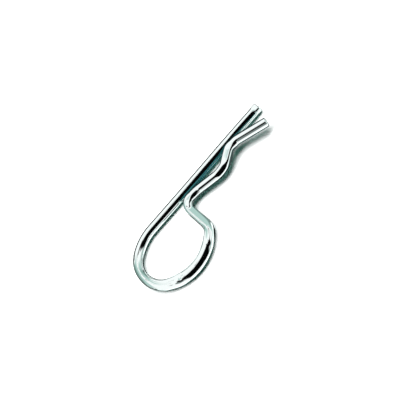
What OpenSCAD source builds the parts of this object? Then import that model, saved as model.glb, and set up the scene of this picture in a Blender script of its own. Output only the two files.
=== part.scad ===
// Hitch R clip (hairpin cotter), one length of round spring wire bent cold and zinc plated.
// It lies flat: the straight leg runs along X with both tips towards +X, the eye is at -X and
// the waved leg is on the -Y side, its far end standing clear of the surface by the spring's set.
// The origin is on that surface, under the middle of the clip.
// Heights across the clip are measured from the straight leg's axis towards the waved leg,
// and places along it from the neck's axis towards the tips.

/* [Wire] */
// Thickness of the round wire
wire_d = 4.0; // [3.2:0.1:5]
// Bevel round each cut end
end_bevel = 0.3; // [0.1:0.05:0.6]

/* [Straight leg] */
// Length of the straight leg, from where the eye's bend begins to its cut end
leg_length = 65.0; // [50:0.2:90]

/* [Eye] */
// Clear height inside the eye, straight leg to far side
eye_w = 20.9; // [16:0.1:28]
// Inside radius of the bend out of the straight leg
entry_in_r = 20.2; // [12:0.2:30]
// Turn of that bend, in degrees
entry_turn = 31; // [15:1:45]
// Inside radius of the far side
far_in_r = 19.0; // [14:0.2:26]
// Turn of the far side before its highest point, in degrees
far_rise_turn = 36; // [20:1:50]
// Turn of the far side after its highest point, in degrees
far_fall_turn = 42; // [30:1:55]
// Inside radius of the shoulder that brings the wire round to the neck
shoulder_in_r = 3.4; // [2:0.1:6]

/* [Waved leg] */
// Inside radius of the corner where the neck meets the straight leg
throat_in_r = 1.8; // [1:0.1:3]
// Inside radius of the slow curve away from the straight leg
rise_in_r = 24; // [12:0.5:34]
// Slope of the ramp up to the saddle, in degrees
rise_turn = 12.4; // [9:0.1:16]
// Clear gap under the saddle's middle
saddle_gap = 2.4; // [1.8:0.1:3.6]
// Inside radius of the saddle
saddle_in_r = 10.9; // [6:0.1:15]
// Slope of the ramp down to the nose, in degrees
fall_turn = 27; // [20:0.5:34]
// Length of the nose's flat between its two bends
nose_flat = 1.8; // [1:0.1:5]
// Inside radius of the nose's two bends
nose_in_r = 3.0; // [2:0.1:8]
// Turn of the flared tip away from the straight leg, in degrees
flare_turn = 19.3; // [12:0.1:30]
// Straight length of the flared tip
flare_length = 13.8; // [6:0.2:18]

/* [Spring set] */
// Play left between the legs where they bear on one another
bearing_gap = 0.1; // [0.05:0.05:0.5]
// Lean of the eye's near half out of the flat, in degrees
eye_lean = 2.2; // [0:0.1:3]
// Lean of the waved leg out of the flat, in degrees
leg_lean = 3.4; // [0:0.1:4]

/* [Hidden] */
$fn = 96;
zinc = [0.80, 0.84, 0.86];
// How much thicker than the wire a knuckle is, and how far short of it a stretch stops
swell = 0.01;
relief = 0.01;

wire_r = wire_d / 2;
entry_r = entry_in_r + wire_r;
far_r = far_in_r + wire_r;
shoulder_r = shoulder_in_r + wire_r;
throat_r = throat_in_r + wire_r;
rise_r = rise_in_r + wire_r;
saddle_r = saddle_in_r + wire_r;
nose_r = nose_in_r + wire_r;

// The eye: its end bend takes up the turn and the height left by the bends beside it
eye_span = eye_w + wire_d;
end_turn = 180 - entry_turn - far_rise_turn;
entry_height = entry_r * (1 - cos(entry_turn));
far_height = far_r * (1 - cos(far_rise_turn));
end_r = (eye_span - entry_height - far_height) / (cos(entry_turn) + cos(far_rise_turn));
far_x = -far_r * sin(far_fall_turn) - shoulder_r * (1 - sin(far_fall_turn));
end_x = far_x - (far_r - end_r) * sin(far_rise_turn);
root_x = end_x + (entry_r - end_r) * sin(entry_turn);
tip_x = root_x + leg_length;
low_x = end_x - end_r - wire_r;
mid_x = (low_x + tip_x) / 2;

// Where the leaned waved leg bears: its axis is one wire and the play from the straight leg's axis
bearing = wire_d + bearing_gap;
axis_height = eye_span * (1 - cos(eye_lean));
axis_drop = eye_span * sin(eye_lean);
function bearing_height(x) = axis_height + sqrt(bearing^2 - (axis_drop + x * sin(leg_lean))^2);
throat_height = bearing_height(throat_r);
saddle_height = saddle_gap + wire_d;
neck_top = eye_span - far_r * (1 - cos(far_fall_turn)) - shoulder_r * cos(far_fall_turn);
neck_length = neck_top - throat_height - throat_r;

// A ramp between two bends that curve opposite ways covers the height that the bends leave
function ramp_length(height, radii, slope) = (height - radii * (1 - cos(slope))) / sin(slope);
function ramp_reach(height, radii, slope) =
    radii * sin(slope) + ramp_length(height, radii, slope) * cos(slope);
rise_radii = rise_r + saddle_r;
fall_radii = saddle_r + nose_r;
rise_height = saddle_height - throat_height;
rise_length = ramp_length(rise_height, rise_radii, rise_turn);
saddle_x = throat_r + ramp_reach(rise_height, rise_radii, rise_turn);

// The nose's place and the height at which it bears depend on one another, and soon settle
function nose_place(x) =
    saddle_x + ramp_reach(saddle_height - bearing_height(x), fall_radii, fall_turn) + nose_flat / 2;
function settled(x, rounds) = rounds == 0 ? x : settled(nose_place(x), rounds - 1);
nose_x = settled(saddle_x, 6);
fall_length = ramp_length(saddle_height - bearing_height(nose_x), fall_radii, fall_turn);

// The wire is built stretch by stretch: each starts at the origin heading along X and
// carries whatever follows it at its far end. The stretches stop a hair short of one another
// and are joined by a knuckle a hair thicker than the wire.
module knuckle() {
    rotate([0, 90, 0]) sphere(d = wire_d + swell);
    children();
}

// A straight stretch
module run(length) {
    translate([relief, 0, 0]) rotate([0, 90, 0]) cylinder(d = wire_d, h = length - 2 * relief);
    translate([length, 0, 0]) knuckle() children();
}

// A bend to the left
module bend_left(radius, turn) {
    hair = asin(relief / radius);
    translate([0, radius, 0]) {
        rotate([0, 0, hair - 90]) rotate_extrude(angle = turn - 2 * hair)
            translate([radius, 0]) circle(d = wire_d);
        rotate([0, 0, turn]) translate([0, -radius, 0]) knuckle() children();
    }
}

// A bend to the right is the same one turned over
module bend_right(radius, turn) {
    rotate([180, 0, 0]) bend_left(radius, turn) rotate([180, 0, 0]) children();
}

// A lean about the wire's own axis takes what follows out of the flat
module lean(angle) {
    rotate([angle, 0, 0]) children();
}

// A straight stretch that finishes in a square cut with a bevelled rim
module cut_run(length) {
    rotate([0, 90, 0]) rotate_extrude() polygon([
        [0, relief], [wire_r, relief],
        [wire_r, length - end_bevel], [wire_r - end_bevel, length], [0, length]
    ]);
}

// The waved leg, from the foot of the neck to its flared tip
module waved_leg() {
    run(neck_length)
    bend_right(throat_r, 90)
    bend_right(rise_r, rise_turn)
    run(rise_length)
    bend_left(saddle_r, rise_turn + fall_turn)
    run(fall_length)
    bend_right(nose_r, fall_turn)
    run(nose_flat)
    bend_right(nose_r, flare_turn)
    cut_run(flare_length);
}

// The eye, from the straight leg round to the neck
module eye() {
    bend_left(entry_r, entry_turn)
    bend_left(end_r, end_turn)
    bend_left(far_r, far_rise_turn)
    lean(eye_lean)
    bend_left(far_r, far_fall_turn)
    bend_left(shoulder_r, 90 - far_fall_turn)
    lean(-leg_lean)
    children();
}

// The whole clip
module clip_wire() {
    color(zinc) translate([root_x - mid_x, eye_span / 2, (wire_d + swell) / 2]) {
        cut_run(leg_length);
        rotate([0, 0, 180]) knuckle() eye() waved_leg();
    }
}

clip_wire();
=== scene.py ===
"""Looks of a hitch R clip: one length of bright zinc plated spring wire, lying flat on paper.

The wire is a closed section carried along its route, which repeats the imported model's bends in
metres. The section shows what the bending tools did to it: they pressed it wide round the eye
and flat on the neck, the ramps and the saddle, nicked it round the eye and squared its straight
tip.
"""

import logging
import math
from dataclasses import dataclass, field
from enum import Enum

import bpy
import numpy as np
from mathutils import Matrix, Vector


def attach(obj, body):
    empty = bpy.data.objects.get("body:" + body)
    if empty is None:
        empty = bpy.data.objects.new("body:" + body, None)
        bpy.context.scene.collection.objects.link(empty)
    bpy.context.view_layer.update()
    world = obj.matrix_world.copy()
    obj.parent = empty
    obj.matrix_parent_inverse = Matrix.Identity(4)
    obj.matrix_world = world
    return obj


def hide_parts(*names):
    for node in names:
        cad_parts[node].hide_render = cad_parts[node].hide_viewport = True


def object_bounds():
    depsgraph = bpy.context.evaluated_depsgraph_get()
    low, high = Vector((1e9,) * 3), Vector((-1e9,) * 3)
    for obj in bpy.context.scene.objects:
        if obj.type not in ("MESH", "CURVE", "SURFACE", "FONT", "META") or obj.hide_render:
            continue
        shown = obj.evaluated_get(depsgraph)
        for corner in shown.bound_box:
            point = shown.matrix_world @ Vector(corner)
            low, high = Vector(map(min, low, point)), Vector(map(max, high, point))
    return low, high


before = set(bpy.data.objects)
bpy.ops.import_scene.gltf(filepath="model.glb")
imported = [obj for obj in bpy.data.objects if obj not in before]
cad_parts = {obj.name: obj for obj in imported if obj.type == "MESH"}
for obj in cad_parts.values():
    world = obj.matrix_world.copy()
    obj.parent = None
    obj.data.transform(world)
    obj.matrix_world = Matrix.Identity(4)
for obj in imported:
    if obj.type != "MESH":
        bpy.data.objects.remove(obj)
CAD_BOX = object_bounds()

MM = 0.001
# A superellipse's power when it is a circle
ROUND = 2
# A Mix node's colour inputs and output go by number, because its other types share their names
MIX_A, MIX_B, MIX_COLOUR = 6, 7, 2
# Light Path counts bounces: under the first number there was none, over the second more than one
NO_BOUNCE, ONE_BOUNCE = 0.5, 1.5
LOG = logging.getLogger("r_clip")


def linear(hex_colour: str) -> tuple[float, float, float, float]:
    """Turn an sRGB hex colour into Blender's linear numbers.

    Each part of 255 goes through sRGB's curve: near black it is divided by 12.92, and above that
    it is the power 2.4 of itself plus 0.055, over 1.055.

    Args:
        hex_colour: six hex digits, such as "D6DEDF".

    Returns:
        Red, green and blue, linear, and an opacity of 1.
    """
    parts = [int(hex_colour[i:i + 2], 16) / 255 for i in (0, 2, 4)]
    curve = [c / 12.92 if c <= 0.04045 else ((c + 0.055) / 1.055) ** 2.4 for c in parts]
    return (*curve, 1.0)


def add_node(tree: bpy.types.NodeTree, kind: str, settings: dict | None = None,
             links: dict | None = None) -> bpy.types.Node:
    """Add one node, set it and link it.

    Args:
        tree: the node tree it goes into.
        kind: Blender's node type.
        settings: attribute names, or input names or numbers, with their values.
        links: input names or numbers, with the output socket each takes.

    Returns:
        The new node.
    """
    node = tree.nodes.new(kind)
    for key, value in (settings or {}).items():
        if isinstance(key, str) and hasattr(node, key):
            setattr(node, key, value)
        else:
            node.inputs[key].default_value = value
    for key, socket in (links or {}).items():
        tree.links.new(socket, node.inputs[key])
    return node


def share_within(tree: bpy.types.NodeTree, value: bpy.types.NodeSocket, middle: float,
                 full: float, empty: float, circle: bool = False) -> bpy.types.NodeSocket:
    """Say how far a value lies inside a span.

    The share goes by the value's distance from the middle: it is 1 as far as full, 0 from empty
    on, and falls smoothly between them.

    Args:
        tree: the node tree.
        value: the output socket with the value.
        middle: the span's middle.
        full: the distance up to which the share is 1.
        empty: the distance from which the share is 0.
        circle: whether the value is an angle in radians. Its difference from the middle is then
            turned by whole circles to lie between minus and plus half a circle.

    Returns:
        The output socket with the share.
    """
    away = add_node(tree, "ShaderNodeMath", {"operation": "SUBTRACT", 1: middle}, {0: value})
    if circle:
        away = add_node(tree, "ShaderNodeMath", {"operation": "WRAP", 1: math.pi, 2: -math.pi},
                        {0: away.outputs[0]})
    size = add_node(tree, "ShaderNodeMath", {"operation": "ABSOLUTE"}, {0: away.outputs[0]})
    share = add_node(tree, "ShaderNodeMapRange", {
        "interpolation_type": "SMOOTHSTEP", "From Min": full, "From Max": empty,
        "To Min": 1.0, "To Max": 0.0}, {"Value": size.outputs[0]})
    return share.outputs["Result"]


def lay_over(tree: bpy.types.NodeTree, ground: str,
             layers: list[tuple["Shade | Panel", list[bpy.types.NodeSocket]]]
             ) -> bpy.types.NodeSocket:
    """Lay coloured layers over a ground, one after another.

    Each mixes its colour into what lies below it, by the product of its two shares.

    Args:
        tree: the node tree.
        ground: the ground's hex colour.
        layers: each strip or panel, with the output sockets of its two shares.

    Returns:
        The output socket with the colour.
    """
    below = {}
    for layer, shares in layers:
        share = add_node(tree, "ShaderNodeMath", {"operation": "MULTIPLY"},
                         dict(enumerate(shares)))
        mixed = add_node(tree, "ShaderNodeMix", {
            "data_type": "RGBA", "label": layer.name,
            MIX_A: linear(ground), MIX_B: linear(layer.colour)}, {0: share.outputs[0], **below})
        below = {MIX_A: mixed.outputs[MIX_COLOUR]}
    return below[MIX_A]


class Turn(Enum):
    """Which way a stretch of wire goes, seen from above."""

    STRAIGHT = 0
    LEFT = 1
    RIGHT = -1


@dataclass(frozen=True)
class Stretch:
    """One stretch of the wire's route: a straight run or a circular bend, lengths in metres.

    A lean, in radians, turns what follows about the wire's own axis, before the stretch begins.
    """

    name: str
    turn: Turn
    length: float
    radius: float = math.inf
    lean: float = 0.0


@dataclass
class ClipRoute:
    """The centreline of the clip, from the straight leg's cut end round to the flared tip.

    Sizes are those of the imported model, in metres and degrees. Settling is how many rounds the
    nose's place takes to settle. Stations are about a step apart, with no fewer than fewest to
    a stretch.
    """

    wire: float = 4.0 * MM
    leg_length: float = 65.0 * MM
    eye_w: float = 20.9 * MM
    entry_in_r: float = 20.2 * MM
    entry_turn: float = 31.0
    far_in_r: float = 19.0 * MM
    far_rise_turn: float = 36.0
    far_fall_turn: float = 42.0
    shoulder_in_r: float = 3.4 * MM
    throat_in_r: float = 1.8 * MM
    rise_in_r: float = 24.0 * MM
    rise_turn: float = 12.4
    saddle_gap: float = 2.4 * MM
    saddle_in_r: float = 10.9 * MM
    fall_turn: float = 27.0
    nose_flat: float = 1.8 * MM
    nose_in_r: float = 3.0 * MM
    flare_turn: float = 19.3
    flare_length: float = 13.8 * MM
    bearing_gap: float = 0.1 * MM
    eye_lean: float = 2.2
    leg_lean: float = 3.4
    settling: int = 7
    step: float = 0.2 * MM
    fewest: int = 2
    stretches: list[Stretch] = field(default_factory=list)

    @property
    def radius(self) -> float:
        """The wire's radius, in metres."""
        return self.wire / 2

    def bearing_height(self, x: float) -> float:
        """Height over the straight leg's axis at which the leaned leg bears on it.

        There the two axes are one wire and the play apart. The height is what the eye's lean
        takes off its span, plus the root of that distance squared less the drop squared.

        Args:
            x: distance along the leaned leg from the neck's axis, in metres.

        Returns:
            The height, in metres.
        """
        span = self.eye_w + self.wire
        lean = math.radians(self.eye_lean)
        drop = span * math.sin(lean) + x * math.sin(math.radians(self.leg_lean))
        apart = self.wire + self.bearing_gap
        return span * (1 - math.cos(lean)) + math.sqrt(apart ** 2 - drop ** 2)

    def ramp(self, height: float, radii: float, slope: float) -> tuple[float, float]:
        """The straight ramp between two bends that curve opposite ways.

        It covers what the bends leave of the height: the height less the radii times one minus
        the slope's cosine, over the slope's sine.

        Args:
            height: from the start of the first bend to the end of the second.
            radii: the sum of their radii.
            slope: the ramp's slope, in radians.

        Returns:
            The ramp's length, and how far the bends and the ramp reach along the clip.
        """
        length = (height - radii * (1 - math.cos(slope))) / math.sin(slope)
        return length, radii * math.sin(slope) + length * math.cos(slope)

    def lay_out(self) -> None:
        """Fill in the stretches, the wire's bends in order, from the clip's sizes.

        The round end takes up the height that the bends beside it leave: its radius is the
        eye's span less what they rise, over the sum of the cosines of their turns.
        """
        r = self.radius
        entry_r, far_r, shoulder_r = self.entry_in_r + r, self.far_in_r + r, self.shoulder_in_r + r
        throat_r, rise_r, saddle_r, nose_r = (
            self.throat_in_r + r, self.rise_in_r + r, self.saddle_in_r + r, self.nose_in_r + r)
        span = self.eye_w + self.wire
        entry, rise, fall = (
            math.radians(t) for t in (self.entry_turn, self.far_rise_turn, self.far_fall_turn))
        end_r = (span - entry_r * (1 - math.cos(entry)) - far_r * (1 - math.cos(rise))) / (
            math.cos(entry) + math.cos(rise))
        throat_y = self.bearing_height(throat_r)
        neck_top = span - far_r * (1 - math.cos(fall)) - shoulder_r * math.cos(fall)
        up_slope, down_slope = math.radians(self.rise_turn), math.radians(self.fall_turn)
        saddle_y = self.saddle_gap + self.wire
        up_length, up_reach = self.ramp(saddle_y - throat_y, rise_r + saddle_r, up_slope)
        saddle_x = nose_x = throat_r + up_reach
        # The nose's place and the height at which it bears depend on one another, and soon settle
        for _ in range(self.settling):
            down_length, down_reach = self.ramp(
                saddle_y - self.bearing_height(nose_x), saddle_r + nose_r, down_slope)
            nose_x = saddle_x + down_reach + self.nose_flat / 2
        flare = math.radians(self.flare_turn)
        eye_lean, leg_lean = math.radians(self.eye_lean), math.radians(self.leg_lean)

        def bend(name: str, turn: Turn, radius: float, angle: float, lean: float = 0.0) -> Stretch:
            """A bend of that radius through that angle, in radians."""
            return Stretch(name, turn, radius * angle, radius, lean)

        self.stretches = [
            Stretch("straight_leg", Turn.STRAIGHT, self.leg_length),
            bend("entry", Turn.LEFT, entry_r, entry),
            bend("end", Turn.LEFT, end_r, math.pi - entry - rise),
            bend("far_rise", Turn.LEFT, far_r, rise),
            bend("far_fall", Turn.LEFT, far_r, fall, eye_lean),
            bend("shoulder", Turn.LEFT, shoulder_r, math.pi / 2 - fall),
            Stretch("neck", Turn.STRAIGHT, neck_top - throat_y - throat_r, lean=-leg_lean),
            bend("throat", Turn.RIGHT, throat_r, math.pi / 2),
            bend("rise", Turn.RIGHT, rise_r, up_slope),
            Stretch("ramp_up", Turn.STRAIGHT, up_length),
            bend("saddle", Turn.LEFT, saddle_r, up_slope + down_slope),
            Stretch("ramp_down", Turn.STRAIGHT, down_length),
            bend("nose_in", Turn.RIGHT, nose_r, down_slope),
            Stretch("nose_flat", Turn.STRAIGHT, self.nose_flat),
            bend("nose_out", Turn.RIGHT, nose_r, flare),
            Stretch("flare", Turn.STRAIGHT, self.flare_length),
        ]

    def start(self) -> Vector:
        """Where the wire begins: the straight leg's cut end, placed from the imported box."""
        low, high = CAD_BOX
        return Vector((high[0], high[1] - self.radius, low[2] + self.radius))

    def stations(self) -> tuple[np.ndarray, np.ndarray, np.ndarray, np.ndarray]:
        """Places along the wire with its frame there.

        A straight run adds its heading times the distance. A bend swings about its centre: the
        place is the centre plus the radius times the turned side, and the heading turns with it.

        Returns:
            Distances, centres, headings and left-hand sides, one row a station.
        """
        heading, left = Vector((-1, 0, 0)), Vector((0, -1, 0))
        place, gone = self.start(), 0.0
        dist, centres, headings, lefts = [], [], [], []
        for part in self.stretches:
            if part.lean:
                left = Matrix.Rotation(part.lean, 3, heading) @ left
            count = max(self.fewest, round(part.length / self.step))
            run = np.linspace(0, part.length, count, endpoint=False)[:, None]
            h, side = np.array(heading), np.array(left) * (part.turn.value or 1)
            if part.turn is Turn.STRAIGHT:
                here = np.array(place) + run * h
                head = np.repeat(h[None], count, 0)
                angle = 0.0
            else:
                a = run / part.radius
                here = np.array(place) + part.radius * (np.sin(a) * h + (1 - np.cos(a)) * side)
                head = np.cos(a) * h + np.sin(a) * side
                angle = part.length / part.radius * part.turn.value
            up = np.cross(np.array(heading), np.array(left))
            dist.append(gone + run[:, 0])
            centres.append(here)
            headings.append(head)
            lefts.append(np.cross(up, head))
            if angle:
                place += part.radius * (math.sin(abs(angle)) * heading
                                        + (1 - math.cos(angle)) * left * part.turn.value)
                spin = Matrix.Rotation(angle, 3, Vector(up))
                heading, left = spin @ heading, spin @ left
            else:
                place += part.length * heading
            gone += part.length
        dist.append(np.array([gone]))
        centres.append(np.array([place]))
        headings.append(np.array([heading]))
        lefts.append(np.array([left]))
        return tuple(np.concatenate(x) for x in (dist, centres, headings, lefts))

    def at(self, name: str, part: float = 0.5) -> float:
        """Distance along the wire to a place in a named stretch: what lies before it, plus a part.

        Args:
            name: the stretch's name.
            part: how much of the stretch to go, from 0 to 1.

        Returns:
            The distance, in metres.
        """
        gone = 0.0
        for s in self.stretches:
            if s.name == name:
                return gone + part * s.length
            gone += s.length
        raise ValueError(name)


@dataclass(frozen=True)
class Bulge:
    """A stretch where the press squeezed the wire wide or, with a share below 0, narrow.

    Centre and reach are in metres along the wire. Share is how much wider it got, and inward how
    far that moved its middle towards the eye's inside, both as shares of its radius.
    """

    centre: float
    reach: float
    share: float
    inward: float = 0.0

    def bell(self, dist: np.ndarray) -> np.ndarray:
        """Rise to 1 at the bulge's centre and fall off both ways, as a bell curve."""
        return np.exp(-((dist - self.centre) / self.reach) ** 2)


@dataclass(frozen=True)
class Flat:
    """A stretch that the jaws pressed towards a square, its centre and reach in metres along it.

    Power is the superellipse's power at its middle; tilt turns the flat top towards the wire's
    right side, in degrees.
    """

    centre: float
    reach: float
    power: float
    tilt: float = 0.0

    def power_at(self, dist: np.ndarray) -> np.ndarray:
        """The power: a circle's, rising to the flat's own by a bell with a flat top."""
        return ROUND + (self.power - ROUND) * np.exp(-((dist - self.centre) / self.reach) ** 4)


@dataclass(frozen=True)
class Nick:
    """A small tool mark.

    Along is its distance along the wire, and around its angle round it from the left side, in
    degrees. Long and wide are its half-lengths along and around, and deep its depth, in metres.
    """

    along: float
    around: float
    long: float
    wide: float
    deep: float


@dataclass(frozen=True)
class BrightZinc:
    """Bright zinc plated spring steel wire: drawn, bent, then plated.

    The plating is a thin bluish mirror that still shows the faint lengthwise lines of drawing,
    and round the eye the short creases that the press left under it. The real lines lie well
    under a tenth of a millimetre apart, too fine to show, so they are drawn coarser. Sizes are
    in metres; creased is the stretch of wire with creases.
    """

    colour: str = "EDF4F3"
    edge: str = "222928"
    roughness: float = 0.03
    line_roughness: float = 0.06
    line_share: tuple[float, float] = (0.3, 0.7)
    line_spacing: float = 0.35 * MM
    line_length: float = 14 * MM
    line_detail: float = 3.0
    line_bump: float = 0.06
    line_depth: float = 0.02 * MM
    creased: tuple[float, float] = (73 * MM, 107 * MM)
    crease_fade: float = 3 * MM
    crease_spacing: float = 0.6 * MM
    crease_length: float = 7 * MM
    crease_shift: tuple[float, float, float] = (0.3, 0.1, 0.0)
    crease_detail: float = 1.0
    crease_bump: float = 0.5
    crease_depth: float = 0.1 * MM

    def streaks(self, tree: bpy.types.NodeTree, place: bpy.types.NodeSocket,
                size: tuple[float, float], detail: float,
                shift: tuple[float, float, float] = (0.0, 0.0, 0.0)) -> bpy.types.NodeSocket:
        """Draw a noise out along the wire: a place is divided by the streaks' size and shifted.

        Args:
            tree: the material's node tree.
            place: the output socket with the place along and around the wire, in metres.
            size: the streaks' length and spacing, in metres.
            detail: how many finer noises are added.
            shift: how far the noise is moved, in its own units.

        Returns:
            The output socket with the noise.
        """
        drawn = add_node(tree, "ShaderNodeMapping", {
            "Scale": (1 / size[0], 1 / size[1], 1.0), "Location": shift}, {"Vector": place})
        noise = add_node(tree, "ShaderNodeTexNoise", {"Scale": 1.0, "Detail": detail},
                         {"Vector": drawn.outputs["Vector"]})
        return noise.outputs["Fac"]

    def material(self) -> bpy.types.Material:
        """Make the plating's material.

        The lines' noise, stretched from its usual share to the whole, sets the roughness
        between its two ends and gives a faint bump. The creases' noise times the share of the
        creased stretch gives a second bump on top.

        Returns:
            The material, its pattern on the wire's own UV map in metres.
        """
        made = bpy.data.materials.new("bright_zinc_plated_spring_wire")
        made.use_nodes = True
        tree = made.node_tree
        shader = tree.nodes["Principled BSDF"]
        shader.inputs["Base Color"].default_value = linear(self.colour)
        shader.inputs["Metallic"].default_value = 1.0
        shader.inputs["Specular Tint"].default_value = linear(self.edge)
        place = add_node(tree, "ShaderNodeUVMap", {"uv_map": "along_wire"}).outputs["UV"]
        lines = self.streaks(tree, place, (self.line_length, self.line_spacing), self.line_detail)
        rough = add_node(tree, "ShaderNodeMapRange", {
            "From Min": self.line_share[0], "From Max": self.line_share[1],
            "To Min": self.roughness, "To Max": self.line_roughness}, {"Value": lines})
        tree.links.new(rough.outputs["Result"], shader.inputs["Roughness"])
        faint = add_node(tree, "ShaderNodeBump", {
            "Strength": self.line_bump, "Distance": self.line_depth}, {"Height": lines})
        creases = self.streaks(tree, place, (self.crease_length, self.crease_spacing),
                               self.crease_detail, self.crease_shift)
        along = add_node(tree, "ShaderNodeSeparateXYZ", links={"Vector": place})
        middle, half = sum(self.creased) / 2, (self.creased[1] - self.creased[0]) / 2
        there = share_within(tree, along.outputs["X"], middle,
                             half - self.crease_fade, half + self.crease_fade)
        deep = add_node(tree, "ShaderNodeMath", {"operation": "MULTIPLY"}, {0: creases, 1: there})
        bump = add_node(tree, "ShaderNodeBump", {
            "Strength": self.crease_bump, "Distance": self.crease_depth},
            {"Height": deep.outputs[0], "Normal": faint.outputs["Normal"]})
        tree.links.new(bump.outputs["Normal"], shader.inputs["Normal"])
        return made


@dataclass
class BentWire:
    """The wire's own surface, carried along the route.

    Around is the number of points to a ring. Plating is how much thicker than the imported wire
    it is across, as a share, and cut_rings are the rings on a cut face, as shares of the radius.
    """

    route: ClipRoute
    around: int = 96
    bevel: float = 0.3 * MM
    plating: float = 0.03
    cut_rings: tuple[float, float] = (0.6, 0.25)
    finish: BrightZinc = field(default_factory=BrightZinc)
    bulges: list[Bulge] = field(default_factory=list)
    flats: list[Flat] = field(default_factory=list)
    nicks: list[Nick] = field(default_factory=list)

    def press(self) -> None:
        """Say where the bending tools left the wire wide, flat or marked."""
        at = self.route.at
        self.bulges = [
            Bulge(12 * MM, 22 * MM, 0.0, -0.15),
            Bulge(at("end", 0.0), 7 * MM, 0.05),
            Bulge(at("end", 0.45), 3.5 * MM, -0.08),
            Bulge(at("far_rise", 0.1), 12 * MM, 0.17),
            Bulge(at("far_fall", 0.1), 14 * MM, 0.10),
            Bulge(at("far_rise", 0.7), 12 * MM, 0.08, 0.16),
            Bulge(at("far_fall", 0.6), 5 * MM, 0.07, 0.08),
            Bulge(at("shoulder", 0.2), 6 * MM, 0.04),
        ]
        self.flats = [
            Flat(1.1 * MM, 1.3 * MM, 4.2, 8.0),
            Flat(9.5 * MM, 7.5 * MM, 2.25, -22.0),
            Flat(at("end", 0.92), 9.0 * MM, 2.6),
            Flat(at("far_rise", 0.38), 2.4 * MM, 2.5, -28.0),
            Flat(at("far_fall", 0.3), 4.0 * MM, 2.25, 8.0),
            Flat(at("far_fall", 0.92), 3.0 * MM, 3.0, -10.0),
            Flat(at("neck", 0.7), 6.4 * MM, 4.4, 10.0),
            Flat(at("throat", 0.63), 2.4 * MM, 3.0, -14.0),
            Flat(at("rise", 0.5), 1.6 * MM, 2.2, 8.0),
            Flat(at("saddle", 0.4), 2.6 * MM, 2.6, 14.0),
            Flat(at("ramp_down", 0.6), 3.8 * MM, 4.2, -12.0),
        ]
        self.nicks = [
            Nick(at("end", 0.75), 78.0, 3.5 * MM, 0.22 * MM, 0.06 * MM),
            Nick(at("far_rise", 0.15), 84.0, 4.0 * MM, 0.2 * MM, 0.05 * MM),
            Nick(at("end", 0.3), 64.0, 3.0 * MM, 0.22 * MM, 0.06 * MM),
            Nick(at("shoulder", 0.1), 96.0, 3.5 * MM, 0.2 * MM, 0.05 * MM),
            Nick(at("end", 0.06), 125.0, 0.8 * MM, 0.25 * MM, 0.08 * MM),
            Nick(at("end", 0.45), 150.0, 0.5 * MM, 0.35 * MM, 0.12 * MM),
            Nick(at("end", 0.78), 150.0, 0.4 * MM, 0.35 * MM, 0.12 * MM),
            Nick(at("far_rise", 0.42), 95.0, 0.5 * MM, 0.35 * MM, 0.12 * MM),
            Nick(at("far_rise", 0.52), 80.0, 0.4 * MM, 0.3 * MM, 0.1 * MM),
        ]

    def section(self, dist: np.ndarray, angle: np.ndarray) -> tuple[np.ndarray, np.ndarray]:
        """Half-widths of the section, across and upwards.

        Across is the wire's radius times one plus the plating and the bulges, each a bell of
        the distance from its centre; upwards it keeps the radius. A flat gives the section a
        superellipse's outline of the same area. A nick takes a bell of both distances off both.

        Args:
            dist: each ring's distance along the wire, in metres.
            angle: the points' angles round it in radians, as one row.

        Returns:
            The two half-widths in metres, as grids of distance by angle.
        """
        r = self.route.radius
        wide = np.full_like(dist, 1 + self.plating)
        for b in self.bulges:
            wide = wide + b.share * b.bell(dist)
        across = r * wide[:, None] * np.ones_like(angle)
        upward = r * np.ones_like(across)
        for f in self.flats:
            power = f.power_at(dist[:, None])
            turned = angle - math.radians(f.tilt)
            outline = (abs(np.cos(turned)) ** power + abs(np.sin(turned)) ** power) ** (-1 / power)
            outline = outline / np.sqrt((outline ** 2).mean(axis=1, keepdims=True))
            across, upward = across * outline, upward * outline
        for n in self.nicks:
            apart = (angle - math.radians(n.around) + math.pi) % (2 * math.pi) - math.pi
            bell = np.exp(-((dist[:, None] - n.along) / n.long) ** 2 - (apart * r / n.wide) ** 2)
            across = across - n.deep * bell
            upward = upward - n.deep * bell
        return across, upward

    def build(self) -> bpy.types.Object:
        """Make the wire's mesh.

        Each station gives a ring: its centre moved in by the bulges, plus across times the
        cosine of the angle along the left side, plus upward times its sine along the up side.
        The last rings at each end step in by the bevel and then shrink to the cut's middle.

        Returns:
            The finished piece, with a UV map of distance along and around the wire in metres.
        """
        dist, centre, heading, left = self.route.stations()
        total = dist[-1]
        r = self.route.radius
        trim = self.bevel
        inner = (dist > trim) & (dist < total - trim)
        cut = [1 - trim / r, *self.cut_rings]
        shrink = np.concatenate([cut[::-1], [1.0], np.ones(inner.sum()), [1.0], cut])
        ends = np.array([0.0] * len(cut) + [trim])
        places = np.concatenate([ends, dist[inner], total - ends[::-1]])
        rings = {}
        for name, values in (("centre", centre), ("heading", heading), ("left", left)):
            rings[name] = np.stack([np.interp(places, dist, values[:, k]) for k in range(3)], 1)
        head = rings["heading"] / np.linalg.norm(rings["heading"], axis=1, keepdims=True)
        side = rings["left"] / np.linalg.norm(rings["left"], axis=1, keepdims=True)
        up = np.cross(head, side)
        angle = np.arange(self.around) * (2 * math.pi / self.around)
        across, upward = self.section(places, angle[None, :])
        across, upward = across * shrink[:, None], upward * shrink[:, None]
        inward = r * sum(b.inward * b.bell(places) for b in self.bulges)
        points = (rings["centre"][:, None]
                  + (inward[:, None] + across * np.cos(angle))[:, :, None] * side[:, None]
                  + (upward * np.sin(angle))[:, :, None] * up[:, None])
        piece = self.to_mesh(points, places, angle)
        piece.data.materials.append(self.finish.material())
        return piece

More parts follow.
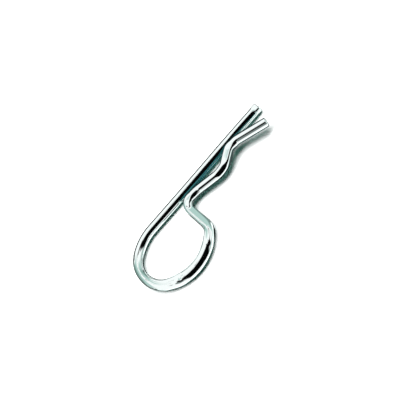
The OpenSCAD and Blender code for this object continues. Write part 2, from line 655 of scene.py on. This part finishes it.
    def to_mesh(self, points: np.ndarray, places: np.ndarray,
                angle: np.ndarray) -> bpy.types.Object:
        """Join a grid of rings into a closed mesh with quads along it and a fan at each end.

        The UV map holds each point's place along the wire and its arc, the angle times the
        radius; the quads that close a ring run on to the whole circumference.

        Args:
            points: rings by angle by three, in metres.
            places: each ring's distance along the wire.
            angle: each point's angle round it.

        Returns:
            The object, shaded smooth, with its UV map.
        """
        rows, cols = points.shape[:2]
        grid = np.arange(rows * cols).reshape(rows, cols)
        nxt = np.roll(grid, -1, axis=1)
        quads = np.stack([grid[:-1], nxt[:-1], nxt[1:], grid[1:]], 2).reshape(-1, 4)
        first, last = rows * cols, rows * cols + 1
        fan_a = np.stack([np.full(cols, first), nxt[0], grid[0]], 1)
        fan_b = np.stack([np.full(cols, last), grid[-1], nxt[-1]], 1)
        verts = np.concatenate([points.reshape(-1, 3), points[[0, -1]].mean(axis=1)])
        mesh = bpy.data.meshes.new("bent_wire")
        mesh.from_pydata(verts.tolist(), [], quads.tolist() + fan_a.tolist() + fan_b.tolist())
        mesh.update()
        arc = angle * self.route.radius
        loops = np.zeros(len(mesh.loops), np.int64)
        mesh.loops.foreach_get("vertex_index", loops)
        u = np.concatenate([np.repeat(places, cols), places[[0, -1]]])[loops]
        v = np.concatenate([np.tile(arc, rows), [0.0, 0.0]])[loops]
        closing = np.zeros(len(loops), bool)
        closing[:quads.size] = np.repeat(quads[:, 2] % cols == 0, 4) & (
            np.tile([False, True, True, False], len(quads)))
        v[closing] = cols * arc[1]
        uv = mesh.uv_layers.new(name="along_wire")
        uv.data.foreach_set("uv", np.stack([u, v], 1).ravel().astype(np.float32))
        mesh.polygons.foreach_set("use_smooth", np.ones(len(mesh.polygons), bool))
        piece = bpy.data.objects.new("bent_wire", mesh)
        bpy.context.scene.collection.objects.link(piece)
        return piece


@dataclass(frozen=True)
class Shade:
    """A darker strip of the paper as the metal sees it: its middle and half-sizes in metres.

    Soft is how far in and out of its edge it fades. The strip is painted for the metal only:
    a painted reflection that draws dark rims, and painted shade between the legs, on the wire.
    """

    name: str
    colour: str
    middle: tuple[float, float]
    half: tuple[float, float]
    soft: float = 2.0 * MM

    def shares(self, tree: bpy.types.NodeTree, axes: bpy.types.Node) -> list[bpy.types.NodeSocket]:
        """Say how far a place, from the node with its axes, lies in the strip in X and in Y."""
        return [share_within(tree, axes.outputs[axis], middle, half - self.soft, half + self.soft)
                for axis, middle, half in zip("XY", self.middle, self.half)]


@dataclass(frozen=True)
class MattPaper:
    """Uncoated white paper: it has no shine, reads as plain white and takes a soft shadow.

    To the metal the paper is painted faintly bluish, with painted darker strips that draw dark
    reflections on the wire. Where light has already bounced off paper, as from paper to metal to
    paper, the paper is painted weaker and bluish green: painted shade that darkens and tints the
    shadows.
    """

    white: str = "FFFFFF"
    # Painted reflection: the paper's faint bluish tint as the metal sees it
    mirrored: str = "F0F8F6"
    # Painted shade: dim bluish green for paper lit by way of the metal, to darken the shadows
    painted_bounce_shade: str = "7EB6AA"
    # Painted reflections: dark strips only the metal sees, for dark rims and shade between legs
    shades: tuple[Shade, ...] = (
        Shade("behind_clip", "1E2423", (0.0, 1.0145), (2.0, 1.0), 1.0 * MM),
        Shade("between_legs", "2C747C", (14 * MM, 8.9 * MM), (18 * MM, 1.9 * MM), 0.8 * MM),
        Shade("eye_far_side", "141B1A", (-20 * MM, -8.4 * MM), (18 * MM, 3 * MM), 1.2 * MM),
        Shade("eye_end", "2E3837", (-34.5 * MM, 0.0), (4 * MM, 6 * MM), 1.2 * MM),
        Shade("eye_neck", "1E2625", (-13.5 * MM, 0.5 * MM), (4.5 * MM, 5 * MM), 1.2 * MM),
        Shade("before_waved_leg", "3A4544", (19.6 * MM, 0.0), (25 * MM, 5 * MM), 1.5 * MM),
        Shade("beside_eye", "55625F", (-62 * MM, 2 * MM), (20 * MM, 16 * MM)),
    )

    def material(self) -> bpy.types.Material:
        """Make the paper's material: white to the camera, with its strips to the metal.

        Returns:
            The material, its strips on Object coordinates.
        """
        made = bpy.data.materials.new("matt_white_paper")
        made.use_nodes = True
        tree = made.node_tree
        shader = tree.nodes["Principled BSDF"]
        shader.inputs["Roughness"].default_value = 1.0
        shader.inputs["Specular IOR Level"].default_value = 0.0
        path = add_node(tree, "ShaderNodeLightPath")
        place = add_node(tree, "ShaderNodeTexCoord")
        axes = add_node(tree, "ShaderNodeSeparateXYZ", links={"Vector": place.outputs["Object"]})
        # Painted reflections: the paper as the metal sees it, darkened in the strips
        strips = lay_over(tree, self.mirrored, [(s, s.shares(tree, axes)) for s in self.shades])
        # Painted shade: after a diffuse bounce the paper takes the dim bluish green
        straight = add_node(tree, "ShaderNodeMath", {"operation": "LESS_THAN", 1: NO_BOUNCE},
                            {0: path.outputs["Diffuse Depth"]})
        mirrored = add_node(tree, "ShaderNodeMix", {
            "data_type": "RGBA", MIX_A: linear(self.painted_bounce_shade)},
            {0: straight.outputs[0], MIX_B: strips})
        paint = add_node(tree, "ShaderNodeMix", {
            "data_type": "RGBA", MIX_B: linear(self.white)},
            {0: path.outputs["Is Camera Ray"], MIX_A: mirrored.outputs[MIX_COLOUR]})
        tree.links.new(paint.outputs[MIX_COLOUR], shader.inputs["Base Color"])
        return made


@dataclass
class Table:
    """The flat white ground that the clip lies on."""

    half_width: float = 3.0
    paper: MattPaper = field(default_factory=MattPaper)

    def build(self) -> None:
        """Make a plain square of paper at the height the clip rests on, no part of the object."""
        w = self.half_width
        mesh = bpy.data.meshes.new("table")
        mesh.from_pydata([(-w, -w, 0), (w, -w, 0), (w, w, 0), (-w, w, 0)], [], [(0, 1, 2, 3)])
        mesh.materials.append(self.paper.material())
        piece = bpy.data.objects.new("table", mesh)
        bpy.context.scene.collection.objects.link(piece)


@dataclass(frozen=True)
class Panel:
    """One side of the tent as the metal sees it: a fan of directions spread from the tent's pole.

    Bearings are counted round the pole in degrees, from straight towards the viewer's side,
    positive towards +X; near and far are degrees from the pole. Soft is how many degrees the
    sides take to fade, and fade how many the ends take.
    """

    name: str
    colour: str
    start: float
    end: float
    near: float
    far: float
    soft: float = 6.0
    fade: float = 6.0

    def shares(self, tree: bpy.types.NodeTree, bearing: bpy.types.NodeSocket,
               reach: bpy.types.NodeSocket) -> list[bpy.types.NodeSocket]:
        """Say how far a direction lies in the panel.

        Each share is full up to half a fade inside the panel's edge and empty half a fade
        outside it.

        Args:
            tree: the world's node tree.
            bearing: the output socket with its bearing round the pole, in radians.
            reach: the output socket with its angle from the pole, in radians.

        Returns:
            The output sockets with the share round the pole and the share out from it.
        """
        shares = []
        for value, low, high, edge in ((bearing, self.start, self.end, self.soft),
                                       (reach, self.near, self.far, self.fade)):
            half = (high - low) / 2
            shares.append(share_within(
                tree, value, math.radians((low + high) / 2), math.radians(half - edge / 2),
                math.radians(half + edge / 2), circle=True))
        return shares


@dataclass
class Studio:
    """The light: a long soft lamp behind the clip, in a white tent with a gap for the viewer.

    The lamp's turn, counted from +X anticlockwise, and its height are in degrees, its sizes and
    distance in metres and its strength in watts. The tent's pole leans back, away from the
    viewer, and to the left, in degrees.
    """

    lamp_turn: float = 95.0
    lamp_height: float = 67.5
    lamp_away: float = 0.7
    lamp_long: float = 1.3
    lamp_wide: float = 0.42
    lamp_strength: float = 15.0
    fill: str = "8FC8BC"
    fill_strength: float = 0.008
    tent: str = "FFFFFF"
    tent_strength: float = 1.1
    seen_twice: str = "447F84"
    pole_back: float = 26.0
    pole_left: float = 3.0
    panels: tuple[Panel, ...] = (
        Panel("foot_back", "4A5553", 112.0, 240.0, 57.0, 78.0, 12.0, 4.0),
        Panel("foot_right", "2C3433", 84.0, 128.0, 74.0, 106.0, 8.0, 6.0),
        Panel("foot_left", "2C3433", 226.0, 280.0, 74.0, 108.0, 8.0, 6.0),
        Panel("cloth_right", "B4CFC9", 46.0, 104.0, 8.0, 76.0, 12.0, 12.0),
        Panel("cloth_left", "B4CFC9", 224.0, 294.0, 8.0, 68.0, 14.0, 12.0),
        Panel("dark_cloth_right", "7C9790", 68.0, 106.0, 42.0, 78.0, 12.0, 20.0),
        Panel("dark_cloth_left", "7C9790", 226.0, 266.0, 40.0, 72.0, 12.0, 20.0),
        Panel("low_cloth_right", "B4C2BE", 24.0, 72.0, 80.0, 110.0, 8.0, 12.0),
        Panel("gap_edge", "7C8482", -28.0, -18.0, 28.0, 84.0, 5.0, 10.0),
        Panel("gap_left", "080A0A", -19.6, -8.0, 18.0, 64.0, 3.0, 8.0),
        Panel("gap_middle", "030404", -14.0, 17.0, 16.5, 94.0, 5.0, 8.0),
        Panel("gap_right", "030404", 14.0, 24.0, 5.0, 102.0, 4.0, 6.0),
        Panel("gap_far_right", "030404", 20.0, 26.5, 42.0, 102.0, 4.0, 8.0),
    )

    def hang_lamp(self) -> None:
        """Hang the lamp, a strip along the clip.

        Its direction is its turn's cosine and sine, each times its height's cosine, with its
        height's sine upwards. The metal doesn't mirror it: the tent's cloth hangs between them.
        """
        lamp = bpy.data.lights.new("strip_softbox", "AREA")
        lamp.shape = "RECTANGLE"
        lamp.size, lamp.size_y = self.lamp_long, self.lamp_wide
        lamp.energy = self.lamp_strength
        rig = bpy.data.objects.new("strip_softbox", lamp)
        turn, high = math.radians(self.lamp_turn), math.radians(self.lamp_height)
        towards = Vector((math.cos(turn) * math.cos(high), math.sin(turn) * math.cos(high),
                          math.sin(high)))
        along = (Vector((1, 0, 0)) - towards * towards.x).normalized()
        turned = Matrix((along, towards.cross(along), towards)).transposed()
        rig.matrix_world = Matrix.Translation(towards * self.lamp_away) @ turned.to_4x4()
        rig.visible_camera = rig.visible_glossy = False
        bpy.context.scene.collection.objects.link(rig)

    def from_pole(self, tree: bpy.types.NodeTree) -> list[bpy.types.NodeSocket]:
        """Say where a direction lies as seen from the tent's pole.

        The direction is turned as far as the pole leans. Its bearing is then the arctangent of
        X over minus Y, and its reach the arccosine of Z.

        Args:
            tree: the world's node tree.

        Returns:
            The output sockets with the bearing and the reach, in radians.
        """
        sky = add_node(tree, "ShaderNodeTexCoord")
        turned = add_node(tree, "ShaderNodeMapping", {
            "vector_type": "VECTOR",
            "Rotation": (math.radians(self.pole_back), math.radians(self.pole_left), 0)},
            {"Vector": sky.outputs["Generated"]})
        axes = add_node(tree, "ShaderNodeSeparateXYZ", links={"Vector": turned.outputs["Vector"]})
        viewer = add_node(tree, "ShaderNodeMath", {"operation": "MULTIPLY", 1: -1.0},
                          {0: axes.outputs["Y"]})
        bearing = add_node(tree, "ShaderNodeMath", {"operation": "ARCTAN2"},
                           {0: axes.outputs["X"], 1: viewer.outputs[0]})
        reach = add_node(tree, "ShaderNodeMath", {"operation": "ARCCOSINE"},
                         {0: axes.outputs["Z"]})
        return [bearing.outputs[0], reach.outputs[0]]

    def pitch_tent(self) -> None:
        """Make the world: the tent to the camera and to metal, a weak even fill to the rest."""
        world = bpy.data.worlds.new("tent")
        bpy.context.scene.world = world
        world.use_nodes = True
        tree = world.node_tree
        tree.nodes.clear()
        direction = self.from_pole(tree)
        panels = lay_over(tree, self.tent, [(p, p.shares(tree, *direction)) for p in self.panels])
        path = add_node(tree, "ShaderNodeLightPath")
        # Cloth that the metal sees by way of metal is dimmer and bluish green
        twice = add_node(tree, "ShaderNodeMath", {"operation": "GREATER_THAN", 1: ONE_BOUNCE},
                         {0: path.outputs["Glossy Depth"]})
        cloth = add_node(tree, "ShaderNodeMix", {
            "data_type": "RGBA", "blend_type": "MULTIPLY", MIX_B: linear(self.seen_twice)},
            {0: twice.outputs[0], MIX_A: panels})
        shown = add_node(tree, "ShaderNodeMath", {"operation": "MAXIMUM"},
                         {0: path.outputs["Is Camera Ray"], 1: path.outputs["Is Glossy Ray"]})
        # The paper beside the clip takes no light thrown back by the metal
        straight = add_node(tree, "ShaderNodeMath", {"operation": "LESS_THAN", 1: NO_BOUNCE},
                            {0: path.outputs["Diffuse Depth"]})
        seen = add_node(tree, "ShaderNodeMath", {"operation": "MULTIPLY"},
                        {0: shown.outputs[0], 1: straight.outputs[0]})
        weak = add_node(tree, "ShaderNodeBackground", {
            "Color": linear(self.fill), "Strength": self.fill_strength})
        bright = add_node(tree, "ShaderNodeBackground", {"Strength": self.tent_strength},
                          {"Color": cloth.outputs[MIX_COLOUR]})
        mix = add_node(tree, "ShaderNodeMixShader", links={
            0: seen.outputs[0], 1: weak.outputs[0], 2: bright.outputs[0]})
        add_node(tree, "ShaderNodeOutputWorld", links={"Surface": mix.outputs[0]})


@dataclass
class Viewpoint:
    """The camera, high on the waved leg's side and rolled so the legs point up to the right.

    Height and roll are in degrees, lens and sensor in millimetres, the rest in metres.
    """

    height: float = 70.0
    roll: float = 48.8
    distance: float = 0.8
    lens: float = 180.0
    sensor: float = 36.0
    nearest: float = 0.01
    farthest: float = 20.0
    aim: tuple[float, float, float] = (-1.76 * MM, 5.2 * MM, 2.0 * MM)

    def build(self) -> None:
        """Stand the camera back from its aim at its height, and roll it about that line."""
        high, roll = math.radians(self.height), math.radians(self.roll)
        back = Vector((0, -math.cos(high), math.sin(high)))
        upright = Vector((0, math.sin(high), math.cos(high)))
        right = math.cos(roll) * Vector((1, 0, 0)) - math.sin(roll) * upright
        up = math.sin(roll) * Vector((1, 0, 0)) + math.cos(roll) * upright
        data = bpy.data.cameras.new("camera")
        data.lens, data.sensor_width = self.lens, self.sensor
        data.clip_start, data.clip_end = self.nearest, self.farthest
        camera = bpy.data.objects.new("camera", data)
        turn = Matrix((right, up, back)).transposed().to_4x4()
        camera.matrix_world = Matrix.Translation(Vector(self.aim) + back * self.distance) @ turn
        bpy.context.scene.collection.objects.link(camera)
        bpy.context.scene.camera = camera


def main() -> None:
    """Build the clip, the table, the light and the camera."""
    logging.basicConfig(level=logging.INFO, format="%(name)s: %(message)s")
    bpy.context.scene.view_settings.view_transform = "Standard"
    route = ClipRoute()
    route.lay_out()
    wire = BentWire(route)
    wire.press()
    piece = wire.build()
    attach(piece, "root")
    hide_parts("clip_wire")
    LOG.info("wire: %d faces, %.1f mm long", len(piece.data.polygons), route.at("flare", 1.0) / MM)
    table = Table()
    table.build()
    LOG.info("table: %.1f m square", 2 * table.half_width)
    studio = Studio()
    studio.hang_lamp()
    studio.pitch_tent()
    Viewpoint().build()


if __name__ == "__main__":
    main()
